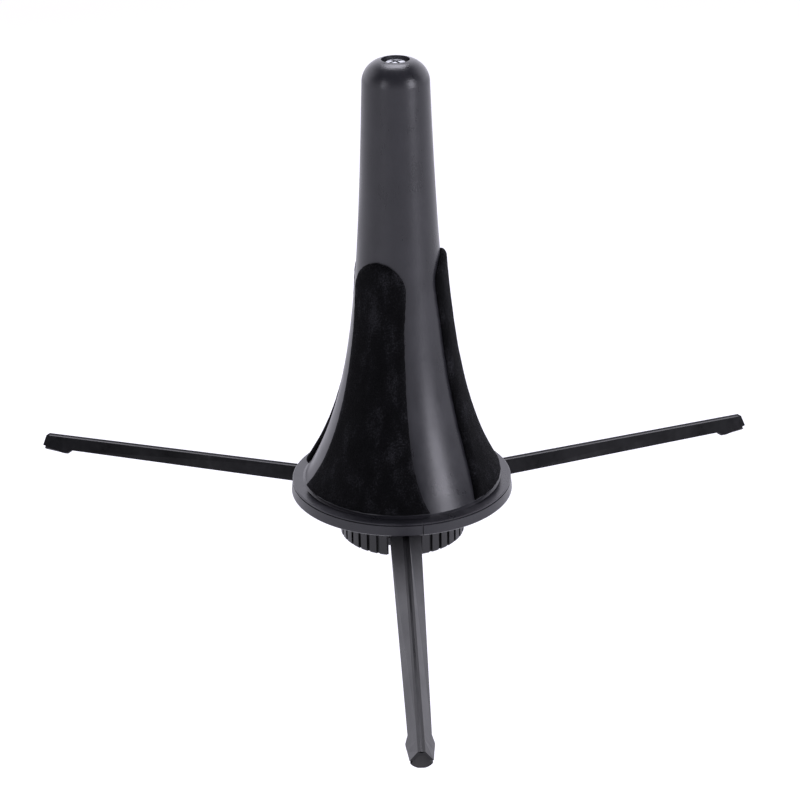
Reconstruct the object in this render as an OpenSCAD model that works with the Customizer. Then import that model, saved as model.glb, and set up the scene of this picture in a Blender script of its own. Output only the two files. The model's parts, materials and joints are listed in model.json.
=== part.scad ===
// Folding tripod peg stand for an oboe or another small-bored wind instrument.
// The origin is on the peg's axis, at floor level. +Z is up, and the front leg lies along -Y.

/* [Peg] */
// Height of the rim round the top screw recess
peg_top_z = 159.6; // [149:0.2:174]
// Radius of the peg's side at its top, before the nose is rounded
nose_r = 10; // [9:0.1:12]
// Growth of the radius per millimetre down the peg
peg_taper = 0.0275; // [0.01:0.0005:0.05]
// Extra radius of the bell-shaped foot of the peg
flare_r = 17.6; // [14:0.2:20]
// Height in which that extra radius falls to about a third
flare_len = 30.6; // [26:0.2:36]
// Rounding radius of the nose
nose_round = 7.2; // [5:0.1:7.6]
// Wall thickness of the peg
peg_wall = 2.2; // [1.6:0.1:2.4]
// Radius of the screw recess in the nose
recess_r = 4.3; // [4.2:0.1:4.8]
// Depth of the screw recess
recess_depth = 4.2; // [3.8:0.1:6]

/* [Flange] */
// Radius of the flange under the peg
flange_r = 36; // [35:0.5:40]
// Height of the flange's lower edge above the floor
flange_low_z = 16; // [15.9:0.1:16.4]
// Height of the seam between the peg's lip and the base plate
seam_z = 19.5; // [19.5:0.1:19.8]
// Thickness of the peg's lip above the seam
lip_t = 0.75; // [0.6:0.05:1]
// Loss of the rim's radius from its lower edge to the lip
rim_draft = 0.4; // [0:0.05:0.6]
// Azimuth of the index line across the rim, from the front towards the right
index_turn = 8.7; // [-25:0.1:25]

/* [Velvet pads] */
// Thickness of a pad with its pile
pad_t = 2; // [1:0.1:2.4]
// Height of a pad's arched top
pad_top_z = 98.1; // [84:0.1:109]
// Half-width of a pad at its arched top
pad_half_w = 9.5; // [8:0.1:10.5]
// Azimuth of the first pad, clockwise from the front seen from below
pad_turn = -30; // [-60:1:60]

/* [Hub] */
// Radius over the grip ribs
hub_r = 20.3; // [20:0.05:21]
// Height of the hub's lower face above the floor
hub_low_z = 0.7; // [0.4:0.05:1.3]
// Height of the hub's upper face
hub_top_z = 16.2; // [16:0.1:16.2]
// Number of grip ribs in a full turn
rib_count = 36; // [24:12:48]
// Width of a groove between two ribs
rib_gap = 1.1; // [0.6:0.1:1.2]
// Depth of a groove between two ribs
rib_depth = 1; // [0.6:0.1:1.2]
// Width of a leg slot
slot_w = 10.2; // [10:0.1:11]

/* [Legs] */
// Radius of the circle through the leg ends
foot_r = 142.7; // [125:0.1:144]
// Height of a leg's top edge at its end
leg_end_z = 5.4; // [5.3:0.05:5.5]
// Fall of a leg's top edge per millimetre outwards
leg_fall = 0.0945; // [0.094:0.0005:0.095]
// Height of the bent sheet channel
leg_h = 3.6; // [3.4:0.1:3.7]
// Sheet thickness of a leg
leg_t = 0.9; // [0.7:0.1:1]
// Distance of a hinge pin from the peg's axis
pin_orbit = 13; // [12.8:0.1:13.2]
// Height of the hinge pins
pin_z = 14; // [13.9:0.1:14.1]
// Radius of a hinge pin
pin_r = 1.25; // [1:0.05:1.3]

/* [Screws] */
// Radius of the long bolt's shank
bolt_r = 2; // [1.8:0.1:2.2]
// Radius of the long bolt's head
bolt_head_r = 3.8; // [3.6:0.1:4]
// Radius of a small screw's shank
screw_r = 1.2; // [1:0.1:1.4]
// Radius of a small screw's head
screw_head_r = 2.3; // [2:0.1:2.4]

/* [Hidden] */
$fn = 96;

// Fits
run_gap = 0.05;        // radial clearance of a pin or bolt that turns
seat_gap = 0.03;       // clearance of pieces that are assembled and stay
far = 200;             // longer than any cut has to be

// Peg
lip_z = seam_z + lip_t;
flare_low_z = 20.8;    // where the flare has its full extra radius
nose_centre_z = peg_top_z - nose_round;
nose_side_r = cone_r(nose_centre_z);
apex_floor_z = peg_top_z - recess_depth;
cavity_top_z = apex_floor_z - 7;
profile_steps = 34;
nose_steps = 16;
boss_orbit = 22.5;     // circle of the base screws
boss_r = 2.8;
boss_top_z = 28.8;
lip_r = flange_r - rim_draft;
lip_edge = 0.25;       // chamfers of the lip
foot_fillet = 0.5;     // between the peg's side and the lip

// Velvet pads
pad_steps = 28;
glue_gap = 0.1;
arch_h = 9.5;
pad_low_z = lip_z + foot_fillet + 0.1;

// Base plate
web_low_z = 18.05;
rim_wall = 2.8;
rim_groove_h = 0.25;   // groove under the lip
rim_groove_t = 0.35;
rib_out = 27.4;        // ring that centres the peg on the base
rib_in = 26;
stop_r = 28;           // inner radius of the ring that stops the legs
stop_wall = 2;
stop_gap = 0.05;
head_sink = 0.75;      // how far a base screw's head reaches into the web
hub_seat_r = 9;        // radius of the bearing faces round the bolt
hub_seat_z = 17.25;
clip_room_r = 5;
clip_room_z = 18;
window_in = 9.8;
window_out = 18.8;

// Bolt and its clip
bolt_end_z = 4;
bolt_neck = 0.4;       // depth of the clip's groove
clip_z = 17.22;
clip_t = 0.58;

// Hub
core_r = 9;
cap_r = 17.4;
cap_top_z = 3.4;
fold_stop_r = 12.2;    // the cap's edge in a slot, which the folded leg meets
groove_reach = 9.3;    // half of a pin's length
hub_screw_orbit = 14.6;
insert_r = 3.5;
insert_top_z = 12.8;

// Legs: distance from the axis, half-width and drop of the lower edge
leg_root = 12.1;
ridge_half = 1.05;
groove_half = 0.35;    // floor of the stiffening groove along the ridge
groove_d = 0.3;
ear_lean = 0.66;       // half-width gained per millimetre down the sides of the ears
function ear(back, drop) = [foot_r - back, ridge_half + ear_lean * drop, drop];
leg_stations = [
    [leg_root, 4.87, leg_h],
    [foot_r - 106.7, 4.87, leg_h],
    ear(12.4, leg_h),
    ear(10.1, leg_h + 1.1),
    ear(8.6, leg_h + 1),
    [foot_r - 5.5, 3.78, 4],
    [foot_r, 3.35, 2.8]];
// The channel's cut runs out past both ends
root_s = leg_stations[0];
end_s = leg_stations[6];
cut_stations = concat([[root_s[0] - 1, root_s[1], root_s[2]]],
    [for (i = [1:5]) leg_stations[i]], [[end_s[0] + 1, end_s[1], end_s[2]]]);
plug_stations = [for (i = [3:6]) cut_stations[i]];
cheek_out = 4.9;
cheek_in = 3.7;
cheek_r = 2.2;
foot_len = 9;
foot_round = 3.85;
foot_sole = 0.1;       // how much is cut off the plug's round where it stands
foot_half = 3.35;
foot_low_h = 1.5;      // the plug below the channel's edges

function cone_r(z) = nose_r + peg_taper * (peg_top_z - z)
    + flare_r * exp(-(z - flare_low_z) / flare_len);
function leg_top(r) = leg_end_z + leg_fall * (foot_r - r);
function pad_angle(z) = 33.5 + 11 * exp(-(z - flare_low_z) / 12);
function pad_face(z) = pad_t * min(1, 0.35 + (z - lip_z) / 6);
function pad_half(z) = z > pad_top_z - arch_h
    ? pad_half_w * sqrt(max(0, 1 - pow((z - pad_top_z + arch_h) / arch_h, 2)))
    : max(pad_half_w, (cone_r(z) + pad_t) * sin(pad_angle(z)));

// Turns its children to a leg's azimuth. They are drawn with the leg along +X.
module at_leg(azimuth) rotate([0, 0, azimuth - 90]) children();

module three_times() for (i = [0:2]) rotate([0, 0, 120 * i]) children();

// A closed solid through sections that all have the same number of points
module loft(sections) {
    n = len(sections[0]);
    m = len(sections);
    sides = [for (j = [0:m - 2], i = [0:n - 1])
        let (a = j * n + i, b = j * n + (i + 1) % n) each [[a, b, b + n], [a, b + n, a + n]]];
    first = [for (i = [n - 1:-1:0]) i];
    last = [for (i = [0:n - 1]) (m - 1) * n + i];
    polyhedron([for (s = sections) each s], concat([first], sides, [last]), convexity = 4);
}

// Peg side from the lip up to the start of the rounded nose
function side_points(inset, low, high) = [for (i = [0:profile_steps])
    let (z = low + (high - low) * pow(i / profile_steps, 1.4)) [cone_r(z) - inset, z]];

module cone_shell() color([0.10, 0.10, 0.11]) difference() {
    union() {
        rotate_extrude() polygon(concat(
            [[cone_r(seam_z) - peg_wall, seam_z], [lip_r - lip_edge, seam_z],
             [lip_r, seam_z + lip_edge], [lip_r, lip_z - lip_edge], [lip_r - lip_edge, lip_z],
             [cone_r(lip_z) + foot_fillet, lip_z]],
            side_points(0, lip_z + foot_fillet, nose_centre_z),
            [for (i = [1:nose_steps]) let (a = i * 80.8 / nose_steps)
                [nose_side_r - nose_round * (1 - cos(a)), nose_centre_z + nose_round * sin(a)]],
            [[recess_r, apex_floor_z], [bolt_r + 0.2, apex_floor_z], [bolt_r + 0.2, cavity_top_z]],
            [for (i = [profile_steps:-1:1]) side_points(peg_wall, seam_z, cavity_top_z)[i]]));
        three_times() rotate([0, 0, 60]) translate([0, -boss_orbit, seam_z])
            cylinder(r = boss_r, h = boss_top_z - seam_z, $fn = 48);
    }
    three_times() rotate([0, 0, 60]) translate([0, -boss_orbit, seam_z - 1])
        cylinder(r = screw_r + seat_gap, h = boss_top_z - seam_z - 0.5, $fn = 48);
    index_line();
}

// A fine line moulded across the rim
module index_line() rotate([0, 0, index_turn]) translate([-0.2, -flange_r - 1, 0])
    cube([0.4, 1.3 + rim_draft, lip_z + 1]);

module base_plate() color([0.11, 0.11, 0.12]) difference() {
    rotate_extrude() polygon([
        [bolt_r + 0.2, clip_room_z], [clip_room_r, clip_room_z], [clip_room_r, hub_seat_z],
        [hub_seat_r, hub_seat_z], [hub_seat_r, web_low_z], [stop_r, web_low_z],
        [stop_r, leg_top(stop_r) + stop_gap], [stop_r + stop_wall, leg_top(stop_r) + stop_gap],
        [stop_r + stop_wall, web_low_z], [flange_r - rim_wall, web_low_z],
        [flange_r - rim_wall, flange_low_z], [flange_r - 0.3, flange_low_z],
        [flange_r, flange_low_z + 0.3], [lip_r, seam_z - rim_groove_h],
        [lip_r - rim_groove_t, seam_z - rim_groove_h], [lip_r - rim_groove_t, seam_z],
        [rib_out, seam_z], [rib_out, seam_z + 2], [rib_in, seam_z + 2], [rib_in, seam_z],
        [bolt_r + 0.2, seam_z]]);
    three_times() rotate([0, 0, -90]) translate([window_in, -slot_w / 2, web_low_z - 1])
        cube([window_out - window_in, slot_w, 4]);
    three_times() rotate([0, 0, 60]) translate([0, -boss_orbit, 0]) {
        cylinder(r = screw_r + 0.2, h = far, $fn = 48);
        cylinder(r = screw_head_r + 0.2, h = web_low_z + head_sink, $fn = 48);
    }
    index_line();
}

// A pad hugs the peg between its arched top and the lip
module velvet_pad(azimuth) color([0.03, 0.03, 0.035]) rotate([0, 0, azimuth]) intersection() {
    rotate_extrude() polygon(concat(
        pad_side(0), [for (i = [pad_steps:-1:0]) pad_side(1)[i]]));
    rotate([90, 0, 0]) linear_extrude(far) polygon(concat(
        [for (i = [0:pad_steps]) pad_edge(i, 1)], [for (i = [pad_steps:-1:0]) pad_edge(i, -1)]));
}
function pad_side(skin) = [for (i = [0:pad_steps])
    let (z = pad_low_z + (pad_top_z + 1 - pad_low_z) * pow(i / pad_steps, 1.3))
    [cone_r(z) + (skin == 0 ? glue_gap : pad_face(z)), z]];
function pad_edge(i, side) =
    let (z = pad_low_z + (pad_top_z - pad_low_z) * sin(90 * i / pad_steps)) [side * (pad_half(z) + 0.01), z];

module tie_bolt() color([0.62, 0.63, 0.65]) difference() {
    rotate_extrude() polygon([
        [0, bolt_end_z], [bolt_r - 0.5, bolt_end_z], [bolt_r, bolt_end_z + 0.5],
        [bolt_r, clip_z - 0.07], [bolt_r - bolt_neck, clip_z - 0.07],
        [bolt_r - bolt_neck, clip_z + clip_t + 0.05], [bolt_r, clip_z + clip_t + 0.05],
        [bolt_r, head_z()], [bolt_head_r, head_z()],
        [bolt_head_r, head_z() + 1.7], [bolt_head_r - 0.9, head_z() + 2.5], [0, head_z() + 2.8]]);
    for (turn = [35, 125]) rotate([0, 0, turn])
        translate([-2.1, -0.45, head_z() + 1.2]) cube([4.2, 0.9, 3]);
}
function head_z() = apex_floor_z + 0.75;

module bolt_washer() color([0.55, 0.56, 0.58]) translate([0, 0, apex_floor_z + 0.02])
    ring(4.15, bolt_r + 0.12, 0.7);

module ring(outer, inner, height) difference() {
    cylinder(r = outer, h = height);
    translate([0, 0, -1]) cylinder(r = inner, h = height + 2);
}

module retainer_clip() color([0.4, 0.4, 0.42]) translate([0, 0, clip_z]) difference() {
    ring(4.2, bolt_r - bolt_neck + seat_gap, clip_t);
    translate([0, -0.9, -1]) cube([10, 1.8, 3]);
}

module thrust_washer() color([0.85, 0.85, 0.82]) translate([0, 0, hub_top_z + 0.02])
    ring(hub_seat_r, 5.6, hub_seat_z - hub_top_z - 0.07);

// Screw with a flat pan head at z = 0 and its shank upwards
module small_screw(shank) difference() {
    union() {
        cylinder(r = screw_head_r, h = 1, $fn = 48);
        cylinder(r = screw_r, h = 1 + shank, $fn = 48);
    }
    for (turn = [0, 90]) rotate([0, 0, turn]) translate([-1.3, -0.3, -1]) cube([2.6, 0.6, 1.6]);
}

module base_screws() color([0.3, 0.3, 0.32]) three_times() rotate([0, 0, 60])
    translate([0, -boss_orbit, web_low_z + head_sink - 1.05]) small_screw(8.1);

module hub_screws() color([0.3, 0.3, 0.32]) three_times() rotate([0, 0, 60])
    translate([0, -hub_screw_orbit, hub_low_z + 0.55]) small_screw(8);

module slots(root, low, high) three_times() rotate([0, 0, -90])
    translate([root, -slot_w / 2, low]) cube([far, slot_w, high - low]);

module hub_body() color([0.12, 0.12, 0.13]) difference() {
    rotate_extrude() polygon([
        [0, cap_top_z], [cap_r + seat_gap, cap_top_z], [cap_r + seat_gap, hub_low_z],
        [hub_r - 0.5, hub_low_z], [hub_r, hub_low_z + 0.5], [hub_r, hub_top_z - 0.5],
        [hub_r - 0.5, hub_top_z], [0, hub_top_z]]);
    slots(core_r, -1, far);
    for (i = [0:rib_count - 1]) rotate([0, 0, (i + 0.5) * 360 / rib_count])
        translate([hub_r - rib_depth, -rib_gap / 2, 0]) cube([5, rib_gap, far]);
    three_times() rotate([0, 0, -90]) {
        translate([pin_orbit - pin_r - seat_gap, -groove_reach - 0.2, 0])
            cube([2 * (pin_r + seat_gap), 2 * groove_reach + 0.4, pin_z]);
        translate([pin_orbit, groove_reach + 0.2, pin_z]) rotate([90, 0, 0])
            cylinder(r = pin_r + seat_gap, h = 2 * groove_reach + 0.4, $fn = 48);
    }
    three_times() rotate([0, 0, 60]) translate([0, -hub_screw_orbit, 0])
        cylinder(r = screw_r + seat_gap, h = hub_low_z + 10.1, $fn = 48);
    cylinder(r = insert_r + seat_gap, h = insert_top_z);
    cylinder(r = bolt_r + 0.3, h = far);
}

// The cap closes the hub from below, and its six posts hold the hinge pins up
module hub_cap() color([0.10, 0.10, 0.11]) difference() {
    union() {
        translate([0, 0, hub_low_z]) cylinder(r = cap_r, h = cap_top_z - seat_gap - hub_low_z);
        three_times() rotate([0, 0, -90]) for (side = [-1, 1])
            translate([pin_orbit - pin_r + 0.05, side * 7.5 - 1.5, cap_top_z - 1])
                cube([2 * pin_r - 0.1, 3, pin_z - pin_r - 0.05 - cap_top_z + 1]);
    }
    slots(fold_stop_r, -1, cap_top_z + 1);
    three_times() rotate([0, 0, 60]) translate([0, -hub_screw_orbit, 0]) {
        cylinder(r = screw_r + 0.2, h = far, $fn = 48);
        cylinder(r = screw_head_r + 0.2, h = hub_low_z + 1.6, $fn = 48);
    }
}

module threaded_insert() color([0.78, 0.62, 0.30])
    translate([0, 0, cap_top_z + 0.1])
        ring(insert_r, bolt_r + run_gap, insert_top_z - cap_top_z - 0.2);

// Section of the bent sheet, with its groove along the ridge
function leg_section(s) = let (top = leg_top(s[0]), low = top - s[2])
    [[s[0], -ridge_half, top], [s[0], -groove_half, top - groove_d], [s[0], groove_half, top - groove_d],
     [s[0], ridge_half, top], [s[0], s[1], low], [s[0], -s[1], low]];

// Section of what lies inset from the sheet's skin and reaches below its lower edge
function inner_section(s, inset, below) =
    let (top = leg_top(s[0]) - groove_d - inset, low = leg_top(s[0]) - s[2],
         ridge = ridge_half - 0.1 * inset, half = s[1] - 1.25 * inset,
         flare = half + below * (half - ridge) / (top - low))
    [[s[0], -ridge, top], [s[0], ridge, top], [s[0], flare, low - below], [s[0], -flare, low - below]];

// A bent sheet channel, open below, with two cheeks for the hinge pin at its root
module leg(azimuth) color([0.13, 0.13, 0.14]) at_leg(azimuth) difference() {
    union() {
        difference() {
            loft([for (s = leg_stations) leg_section(s)]);
            loft([for (s = cut_stations) inner_section(s, leg_t, 0.5)]);
        }
        for (side = [-1, 1]) translate([0, side * (cheek_in + cheek_out) / 2, 0]) {
            translate([pin_orbit, 0, pin_z]) rotate([90, 0, 0])
                cylinder(r = cheek_r, h = cheek_out - cheek_in, center = true, $fn = 48);
            translate([pin_orbit - cheek_r + 0.2, (cheek_in - cheek_out) / 2, pin_z])
                cube([9, cheek_out - cheek_in, 1.6]);
        }
    }
    translate([pin_orbit, 0, pin_z]) rotate([90, 0, 0])
        cylinder(r = pin_r + run_gap, h = 30, center = true, $fn = 48);
}

// A rubber plug in the channel's end, rounded below and cut flat where it stands
module foot(azimuth) color([0.07, 0.07, 0.07]) at_leg(azimuth) intersection() {
    translate([foot_r - foot_len, 0, foot_round - foot_sole]) rotate([0, 90, 0])
        cylinder(r = foot_round, h = foot_len - 0.4, $fn = 64);
    union() {
        translate([foot_r - foot_len, -foot_half, 0]) cube([foot_len, 2 * foot_half, foot_low_h]);
        intersection() {
            translate([foot_r - foot_len, -foot_half, foot_low_h - 1])
                cube([foot_len, 2 * foot_half, 2 * foot_round]);
            loft([for (s = plug_stations) inner_section(s, leg_t + 0.15, 4)]);
        }
    }
}

module hinge_pin(azimuth) color([0.6, 0.6, 0.62]) at_leg(azimuth)
    translate([pin_orbit, groove_reach, pin_z]) rotate([90, 0, 0])
        cylinder(r = pin_r, h = 2 * groove_reach, $fn = 48);

cone_shell();
base_plate();
velvet_pad(pad_turn);  // pad_front
velvet_pad(pad_turn + 120);  // pad_right
velvet_pad(pad_turn + 240);  // pad_rear
tie_bolt();
bolt_washer();
retainer_clip();
thrust_washer();
hub_body();
hub_cap();
hub_screws();
threaded_insert();
base_screws();
leg(0);  // leg_front
leg(120);  // leg_right
leg(240);  // leg_left
foot(0);  // foot_front
foot(120);  // foot_right
foot(240);  // foot_left
hinge_pin(0);  // hinge_pin_front
hinge_pin(120);  // hinge_pin_right
hinge_pin(240);  // hinge_pin_left
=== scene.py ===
"""Looks of the folding peg stand: camera, materials, velvet pads, lights and floor round the CAD model."""

import json
import math

import bmesh
import bpy
from mathutils import Matrix, Vector, noise


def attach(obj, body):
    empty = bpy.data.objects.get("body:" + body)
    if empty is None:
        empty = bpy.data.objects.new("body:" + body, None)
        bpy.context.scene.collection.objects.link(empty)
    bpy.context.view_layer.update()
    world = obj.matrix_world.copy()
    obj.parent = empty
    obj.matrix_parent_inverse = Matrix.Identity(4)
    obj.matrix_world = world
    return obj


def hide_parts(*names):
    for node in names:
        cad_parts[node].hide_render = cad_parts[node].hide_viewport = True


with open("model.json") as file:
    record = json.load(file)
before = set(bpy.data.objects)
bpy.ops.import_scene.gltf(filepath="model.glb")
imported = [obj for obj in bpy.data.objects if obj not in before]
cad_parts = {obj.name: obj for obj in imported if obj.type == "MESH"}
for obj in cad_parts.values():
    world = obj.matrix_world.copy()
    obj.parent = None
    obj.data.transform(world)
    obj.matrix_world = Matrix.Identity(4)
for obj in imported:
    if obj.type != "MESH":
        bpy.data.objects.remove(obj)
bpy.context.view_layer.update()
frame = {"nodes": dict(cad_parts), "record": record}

MM = 0.001

# Camera: a long lens in front of the stand and a little above it
CAMERA_BACK = 676.3 * MM
CAMERA_HEIGHT = 348.95 * MM
CAMERA_AZIMUTH = -0.030
CAMERA_PITCH = 0.4201
CAMERA_TURN = -0.0049
CAMERA_ROLL = -0.0172
CAMERA_LENS = 103.6
CAMERA_SHIFT = 0.0122

# Peg, in millimetres: the same curve as the part's
PEG_TOP_Z = 159.6
NOSE_R = 10
PEG_TAPER = 0.0275
FLARE_R = 17.6
FLARE_LEN = 30.6
LIP_Z = 20.25
FLARE_LOW_Z = 20.8

# Velvet pads, in millimetres
PAD_TURN = -30
PAD_LOW_Z = LIP_Z + 0.75
PAD_TOP_Z = 98.1
PAD_HALF_W = 9.5
PAD_ARCH = 9.5
PAD_T = 1.95
PAD_EDGE_T = 0.55
PAD_EDGE_ROLL = 2.4
GLUE = 0.1

# Light, as radiance where the white paper has about 1
ROOM = 0.08
WALL = 1.6
WALL_LOW, WALL_HIGH = 0.45, 0.85
SKIRT = 0.85
FLOOR_GLOW = 0.80
LEFT_BOX, RIGHT_BOX, CEILING_BOX = 3.4, 8.0, 9.5

# The light is a little blue
COOL = (1.0, 0.985, 1.10)

# The floor lies below the legs' ends as they hang folded, so it never hides a leg
FLOOR_Z = -132 * MM
FLOOR_SIZE = 6


def make_camera():
    """Sets the camera from its place, its direction and a slight roll."""

    place = Vector((CAMERA_BACK * math.sin(CAMERA_AZIMUTH), -CAMERA_BACK * math.cos(CAMERA_AZIMUTH),
                    CAMERA_HEIGHT))
    heading = CAMERA_TURN - CAMERA_AZIMUTH
    forward = Vector((math.sin(heading) * math.cos(CAMERA_PITCH),
                      math.cos(heading) * math.cos(CAMERA_PITCH), -math.sin(CAMERA_PITCH)))
    level = Vector((math.cos(heading), -math.sin(heading), 0))
    over = level.cross(forward)
    right = math.cos(CAMERA_ROLL) * level + math.sin(CAMERA_ROLL) * over
    up = math.cos(CAMERA_ROLL) * over - math.sin(CAMERA_ROLL) * level
    data = bpy.data.cameras.new("camera")
    data.lens = CAMERA_LENS
    data.shift_x = CAMERA_SHIFT
    data.clip_start = 0.01
    data.clip_end = 20
    camera = bpy.data.objects.new("camera", data)
    camera.matrix_world = Matrix.Translation(place) @ Matrix(
        (right, up, -forward)).transposed().to_4x4()
    bpy.context.scene.collection.objects.link(camera)
    bpy.context.scene.camera = camera


# ---------------------------------------------------------------- materials

class Nodes:
    """A short way to write a material's nodes."""

    def __init__(self, name):
        self.material = bpy.data.materials.new(name)
        self.material.use_nodes = True
        self.tree = self.material.node_tree
        self.shader = self.tree.nodes["Principled BSDF"]
        self.place = self.add("ShaderNodeTexCoord").outputs["Object"]

    def add(self, kind, **values):
        node = self.tree.nodes.new(kind)
        for key, value in values.items():
            setattr(node, key, value)
        return node

    def join(self, a, b):
        self.tree.links.new(a, b)

    def set(self, **values):
        for key, value in values.items():
            self.shader.inputs[key.replace("_", " ")].default_value = value

    def stretched(self, scale):
        """The object's coordinates, scaled along each axis."""
        node = self.add("ShaderNodeMapping")
        self.join(self.place, node.inputs["Vector"])
        node.inputs["Scale"].default_value = scale
        return node.outputs["Vector"]

    def noise(self, scale, detail=3.0, vector=None, rough=0.5):
        node = self.add("ShaderNodeTexNoise")
        self.join(vector or self.place, node.inputs["Vector"])
        node.inputs["Scale"].default_value = scale
        node.inputs["Detail"].default_value = detail
        node.inputs["Roughness"].default_value = rough
        return node.outputs["Fac"]

    def ranged(self, value, low, high, to_low, to_high):
        node = self.add("ShaderNodeMapRange")
        self.join(value, node.inputs["Value"])
        for key, number in (("From Min", low), ("From Max", high), ("To Min", to_low), ("To Max", to_high)):
            node.inputs[key].default_value = number
        return node.outputs["Result"]

    def sum(self, a, b, weight_a=1.0, weight_b=1.0):
        first = self.add("ShaderNodeMath", operation="MULTIPLY")
        self.join(a, first.inputs[0])
        first.inputs[1].default_value = weight_a
        second = self.add("ShaderNodeMath", operation="MULTIPLY_ADD")
        self.join(b, second.inputs[0])
        second.inputs[1].default_value = weight_b
        self.join(first.outputs[0], second.inputs[2])
        return second.outputs[0]

    def colours(self, value, stops):
        ramp = self.add("ShaderNodeValToRGB")
        self.join(value, ramp.inputs["Fac"])
        elements = ramp.color_ramp.elements
        while len(elements) < len(stops):
            elements.new(0.5)
        for element, (at, colour) in zip(elements, stops):
            element.position = at
            element.color = (*colour, 1)
        self.join(ramp.outputs["Color"], self.shader.inputs["Base Color"])

    def rough(self, value):
        self.join(value, self.shader.inputs["Roughness"])

    def bump(self, height, depth, strength=1.0):
        node = self.add("ShaderNodeBump")
        node.inputs["Distance"].default_value = depth
        node.inputs["Strength"].default_value = strength
        self.join(height, node.inputs["Height"])
        self.join(node.outputs["Normal"], self.shader.inputs["Normal"])


def moulded(name, dark, light, rough_low, rough_high, grain, depth, streak=(1, 1, 1)):
    """Moulded black plastic: fine grain, uneven gloss, and faint rub marks."""
    n = Nodes(name)
    grains = n.noise(grain, 4, rough=0.6)
    cloud = n.noise(70, 3)
    rubs = n.noise(240, 5, n.stretched(streak), rough=0.7)
    n.colours(n.sum(cloud, rubs, 0.6, 0.4), ((0.35, dark), (0.62, light)))
    n.rough(n.ranged(n.sum(cloud, rubs, 0.5, 0.5), 0.38, 0.64, rough_low, rough_high))
    n.bump(n.sum(grains, cloud, 1.0, 0.5), depth, 0.6)
    n.set(IOR=1.47, Specular_IOR_Level=0.46)
    return n.material


def velvet():
    """Short black pile: nap brushed in patches, single bright fibre tips, sheen at the edges."""
    n = Nodes("black_velvet")
    pile = n.noise(2100, 3, rough=0.75)
    nap = n.noise(260, 4, n.stretched((1, 1, 0.35)))
    patch = n.noise(48, 2)
    n.colours(n.sum(pile, nap, 0.55, 0.45), (
        (0.36, (0.0010, 0.0010, 0.0013)), (0.52, (0.0036, 0.0036, 0.0042)), (0.66, (0.022, 0.022, 0.025))))
    n.rough(n.ranged(nap, 0.3, 0.7, 0.85, 1.0))
    n.bump(n.sum(n.sum(pile, nap, 1.0, 0.6), patch, 1.0, 1.2), 0.5 * MM, 1.0)
    n.set(Specular_IOR_Level=0.06, Sheen_Weight=0.015, Sheen_Roughness=0.45,
          Sheen_Tint=(0.75, 0.75, 0.82, 1))
    return n.material


def enamel():
    """Satin black enamel on bent steel: slight orange peel and length-wise rub marks."""
    n = Nodes("black_enamel")
    peel = n.noise(900, 2)
    rubs = n.noise(500, 6, n.stretched((1, 0.08, 1)), rough=0.7)
    cloud = n.noise(60, 3)
    n.colours(n.sum(cloud, rubs, 0.5, 0.5), (
        (0.36, (0.0030, 0.0030, 0.0036)), (0.6, (0.0062, 0.0062, 0.0072)), (0.78, (0.018, 0.018, 0.020))))
    n.rough(n.ranged(n.sum(cloud, rubs, 0.5, 0.5), 0.36, 0.66, 0.27, 0.42))
    n.bump(n.sum(peel, rubs, 1.0, 0.4), 0.02 * MM, 0.6)
    n.set(IOR=1.38)
    return n.material


def metal(name, colours, rough_low, rough_high, streak):
    """Bare or plated metal with fine tool marks and stains."""
    n = Nodes(name)
    marks = n.noise(900, 5, n.stretched(streak), rough=0.7)
    stain = n.noise(160, 3)
    n.colours(n.sum(marks, stain, 0.5, 0.5), ((0.35, colours[0]), (0.65, colours[1])))
    n.rough(n.ranged(stain, 0.3, 0.7, rough_low, rough_high))
    n.bump(marks, 0.01 * MM, 0.5)
    n.set(Metallic=1.0)
    return n.material


def rubber():
    """Matt rubber with dust in its pores."""
    n = Nodes("foot_rubber")
    pores = n.noise(2200, 3)
    dust = n.noise(180, 5, rough=0.7)
    n.colours(dust, ((0.42, (0.0095, 0.0095, 0.0100)), (0.66, (0.030, 0.029, 0.028))))
    n.rough(n.ranged(dust, 0.3, 0.7, 0.55, 0.8))
    n.bump(pores, 0.03 * MM, 0.7)
    n.set(IOR=1.45)
    return n.material


def natural_plastic():
    """Milky slippery plastic of the washer."""
    n = Nodes("washer_plastic")
    cloud = n.noise(300, 3)
    n.colours(cloud, ((0.35, (0.62, 0.61, 0.56)), (0.65, (0.76, 0.75, 0.70))))
    n.rough(n.ranged(cloud, 0.3, 0.7, 0.38, 0.5))
    n.bump(n.noise(1500, 2), 0.02 * MM, 0.5)
    return n.material


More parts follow.
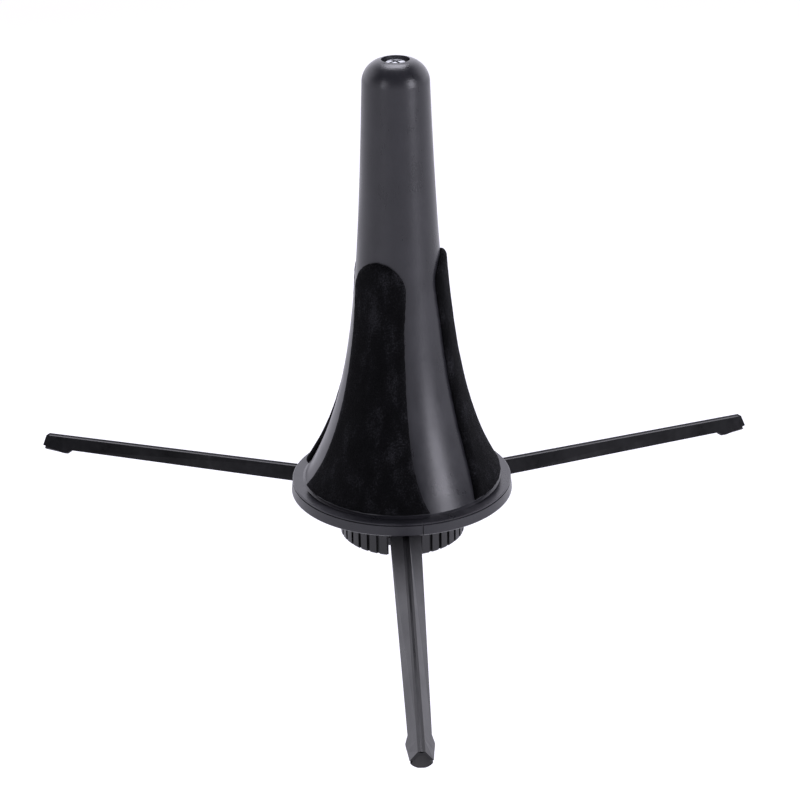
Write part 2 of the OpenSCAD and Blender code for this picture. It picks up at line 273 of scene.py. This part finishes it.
def dress_cad_nodes():
    """Gives each CAD node the material of its slot, and eases its edges as moulding or bending would."""

    black, soft_black = (0.0130, 0.0130, 0.0160), (0.0215, 0.0212, 0.0255)
    finishes = {
        "peg_plastic": moulded("peg_plastic", black, soft_black, 0.26, 0.38, 2600, 0.02 * MM, (1, 1, 0.25)),
        "base_plastic": moulded("base_plastic", black, soft_black, 0.28, 0.40, 2200, 0.02 * MM),
        "hub_plastic": moulded("hub_plastic", (0.0040, 0.0040, 0.0048), (0.0070, 0.0070, 0.0084),
                               0.36, 0.50, 1800, 0.03 * MM),
        "washer_plastic": natural_plastic(),
        "velvet": velvet(),
        "black_steel": enamel(),
        "plated_steel": metal("plated_steel", ((0.42, 0.43, 0.45), (0.60, 0.61, 0.63)),
                              0.22, 0.38, (1, 1, 0.2)),
        "spring_steel": metal("spring_steel", ((0.10, 0.10, 0.11), (0.20, 0.20, 0.21)), 0.35, 0.5, (1, 1, 1)),
        "insert_brass": metal("insert_brass", ((0.55, 0.38, 0.15), (0.75, 0.56, 0.26)),
                              0.25, 0.4, (1, 1, 0.2)),
        "foot_rubber": rubber(),
    }
    easing = {"cone_shell": 0.12, "base_plate": 0.12, "hub_body": 0.42, "hub_cap": 0.15, "tie_bolt": 0.12,
              "leg": 0.34, "foot": 0.3, "hinge": 0.15, "hub_screws": 0.08, "base_screws": 0.08}
    for part in frame["record"]["subparts"]:
        node = frame["nodes"][part["node"]]
        node.data.materials.clear()
        node.data.materials.append(finishes[part["material_slot"]])
        for start, width in easing.items():
            if part["node"].startswith(start):
                bevel = node.modifiers.new("eased edges", "BEVEL")
                bevel.width = width * MM
                bevel.segments = 3
                bevel.limit_method = "ANGLE"
                bevel.angle_limit = math.radians(26)
                bevel.harden_normals = True
    return finishes


# ---------------------------------------------------------------- velvet pads

def cone_r(z):
    """Radius of the peg's side at a height, in millimetres."""
    return NOSE_R + PEG_TAPER * (PEG_TOP_Z - z) + FLARE_R * math.exp(-(z - FLARE_LOW_Z) / FLARE_LEN)


def pad_half(z):
    """Half of a pad's width across the peg at a height, in millimetres."""
    if z > PAD_TOP_Z - PAD_ARCH:
        rise = (z - PAD_TOP_Z + PAD_ARCH) / PAD_ARCH
        return PAD_HALF_W * math.sqrt(max(0.0, 1 - rise * rise))
    angle = math.radians(33.5 + 11 * math.exp(-(z - FLARE_LOW_Z) / 12))
    return max(PAD_HALF_W, (cone_r(z) + PAD_T) * math.sin(angle))


def pad_outline():
    """Points (angle, height) round a pad: up its right side, over the arch and down, then along the foot."""
    side = []
    steps = 90
    for i in range(steps + 1):
        z = PAD_LOW_Z + (PAD_TOP_Z - PAD_LOW_Z) * math.sin(math.pi / 2 * i / steps)
        side.append((math.asin(pad_half(z) / (cone_r(z) + PAD_T)), z))
    low = side[0][0]
    foot_steps = 44
    foot = [(low * (2 * i / foot_steps - 1), PAD_LOW_Z) for i in range(1, foot_steps)]
    return side + [(-a, z) for a, z in side[-2::-1]] + foot


def ragged(points, seed):
    """The cut edge wanders a little, as hand-cut velvet does."""
    out = []
    for a, z in points:
        r = cone_r(z)
        spot = Vector((a * r * 0.55, z * 0.55, seed))
        fine = Vector((a * r * 2.6, z * 2.6, seed + 7))
        dx = 0.20 * noise.noise(spot) + 0.10 * noise.noise(fine)
        dz = 0.16 * noise.noise(spot + Vector((31, 0, 0))) + 0.10 * noise.noise(fine + Vector((0, 17, 0)))
        out.append((a + dx / r, z + dz))
    return out


def surface(turn, angle, z, height):
    """A point that stands off the peg's side by a height, in metres."""
    slope = (cone_r(z + 0.2) - cone_r(z - 0.2)) / 0.4
    lean = math.hypot(1, slope)
    r = cone_r(z) + height / lean
    up = z - height * slope / lean
    azimuth = turn + angle
    return Vector((r * math.sin(azimuth), -r * math.cos(azimuth), up)) * MM


def make_pad(name, turn_degrees, seed, material):
    """A crowned velvet pad glued round the peg, thin at its cut edge."""

    turn = math.radians(turn_degrees)
    outline = ragged(pad_outline(), seed)
    spine_low, spine_high = PAD_LOW_Z + 9, PAD_TOP_Z - 9
    rolls = (0, 0.12, 0.3, 0.55, 0.9, 1.35, 1.9, 2.6)
    inner_rings = 16
    mesh = bmesh.new()

    def ring(depth_of, height_of):
        row = []
        for a, z in outline:
            centre = min(max(z, spine_low), spine_high)
            length = math.hypot(a * cone_r(z), z - centre)
            depth = depth_of(length)
            share = 1 - depth / length
            aa, zz = a * share, centre + (z - centre) * share
            row.append(mesh.verts.new(surface(turn, aa, zz, height_of(aa, zz, depth))))
        return row

    def pile(a, z, depth):
        edge = 1 - min(1.0, depth / PAD_EDGE_ROLL)
        crown = PAD_EDGE_T + (PAD_T - PAD_EDGE_T) * math.sqrt(max(0.0, 1 - edge * edge))
        spot = Vector((a * cone_r(z), z, seed * 3.1))
        uneven = 0.07 * noise.noise(spot * 0.16) + 0.035 * noise.noise(spot * 0.7)
        nap = 0.02 * noise.noise(spot * 3.0)
        return crown + (uneven + nap) * min(1.0, depth / 1.5)

    depths = [lambda length, d=d: d for d in rolls]
    for k in range(1, inner_rings + 1):
        share = k / inner_rings
        depths.append(lambda length, s=share: rolls[-1] + (length - rolls[-1]) * s)
    back = [ring(d, lambda a, z, depth: GLUE) for d in (depths[0], depths[4], depths[12], depths[-1])]
    front = [ring(d, pile) for d in depths]
    rows = back[::-1] + front
    count = len(outline)
    for low, high in zip(rows, rows[1:]):
        for i in range(count):
            j = (i + 1) % count
            mesh.faces.new((low[i], low[j], high[j], high[i]))
    bmesh.ops.remove_doubles(mesh, verts=mesh.verts, dist=0.004 * MM)
    bmesh.ops.dissolve_degenerate(mesh, edges=mesh.edges, dist=0.004 * MM)
    bmesh.ops.recalc_face_normals(mesh, faces=mesh.faces)
    for face in mesh.faces:
        face.smooth = True
    data = bpy.data.meshes.new(name)
    mesh.to_mesh(data)
    mesh.free()
    data.materials.append(material)
    pad = bpy.data.objects.new(name, data)
    bpy.context.scene.collection.objects.link(pad)
    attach(pad, "peg")
    return pad


def make_pads(material):
    for i, node in enumerate(("pad_front", "pad_right", "pad_rear")):
        pad = make_pad("velvet_" + node, PAD_TURN + 120 * i, 11 + 5 * i, material)
        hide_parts(node)


# ---------------------------------------------------------------- studio

def soft_box(name, place, target, size, radiance):
    """A rectangular light of an even radiance that faces a target."""
    data = bpy.data.lights.new(name, "AREA")
    data.shape = "RECTANGLE"
    data.size, data.size_y = size
    data.energy = radiance * math.pi * size[0] * size[1]
    data.color = COOL
    light = bpy.data.objects.new(name, data)
    light.location = place
    light.rotation_mode = "QUATERNION"
    light.rotation_quaternion = (Vector(target) - Vector(place)).to_track_quat("-Z", "Y")
    bpy.context.scene.collection.objects.link(light)


def make_room():
    """Light by direction: bright behind and low down at the sides, dim above and over the camera."""

    world = bpy.data.worlds.new("room")
    world.use_nodes = True
    tree = world.node_tree

    def add(kind, **values):
        node = tree.nodes.new(kind)
        for key, value in values.items():
            setattr(node, key, value)
        return node

    def ramp(value, low, high, to_low, to_high):
        node = add("ShaderNodeMapRange", interpolation_type="SMOOTHSTEP")
        tree.links.new(value, node.inputs["Value"])
        for key, number in (("From Min", low), ("From Max", high), ("To Min", to_low), ("To Max", to_high)):
            node.inputs[key].default_value = number
        return node.outputs["Result"]

    def math_node(kind, a, b):
        node = add("ShaderNodeMath", operation=kind)
        for socket, value in zip(node.inputs, (a, b)):
            if isinstance(value, (int, float)):
                socket.default_value = value
            else:
                tree.links.new(value, socket)
        return node.outputs[0]

    axes = add("ShaderNodeSeparateXYZ")
    tree.links.new(add("ShaderNodeTexCoord").outputs["Generated"], axes.inputs[0])
    behind = ramp(axes.outputs["Y"], -0.10, 0.40, 0.0, 1.0)
    wall = math_node("MULTIPLY", behind, ramp(axes.outputs["Z"], WALL_LOW, WALL_HIGH, WALL, 0.0))
    low = ramp(axes.outputs["Z"], 0.05, 0.40, SKIRT, 0.0)
    skirt = math_node("MULTIPLY", low, ramp(axes.outputs["Y"], -1.0, 0.2, 0.6, 1.0))
    total = math_node("ADD", math_node("MAXIMUM", wall, skirt), ROOM)
    back = tree.nodes["Background"]
    back.inputs["Color"].default_value = (*COOL, 1)
    tree.links.new(total, back.inputs["Strength"])
    bpy.context.scene.world = world


def make_studio():
    """A floor that glows white, two boxes beside the camera and one above and behind the stand."""

    bpy.ops.mesh.primitive_plane_add(size=FLOOR_SIZE, location=(0, 0, FLOOR_Z))
    floor = bpy.context.object
    floor.name = "floor"
    paper = Nodes("pale_paper")
    paper.colours(paper.noise(6, 2), ((0.3, (0.34, 0.34, 0.34)), (0.7, (0.36, 0.36, 0.36))))
    paper.set(Roughness=0.9, Specular_IOR_Level=0.1,
              Emission_Color=(*COOL, 1), Emission_Strength=FLOOR_GLOW)
    floor.data.materials.append(paper.material)
    make_room()
    soft_box("left box", (-0.58, -0.62, 0.33), (0, 0, 0.10), (0.22, 0.50), LEFT_BOX)
    soft_box("right box", (0.68, -0.52, 0.30), (0, 0, 0.10), (0.30, 0.55), RIGHT_BOX)
    soft_box("ceiling box", (0, 0.38, 0.95), (0, 0, 0.10), (0.50, 0.45), CEILING_BOX)
    bpy.context.scene.view_settings.view_transform = "Standard"


make_camera()
finishes = dress_cad_nodes()
make_pads(finishes["velvet"])
make_studio()
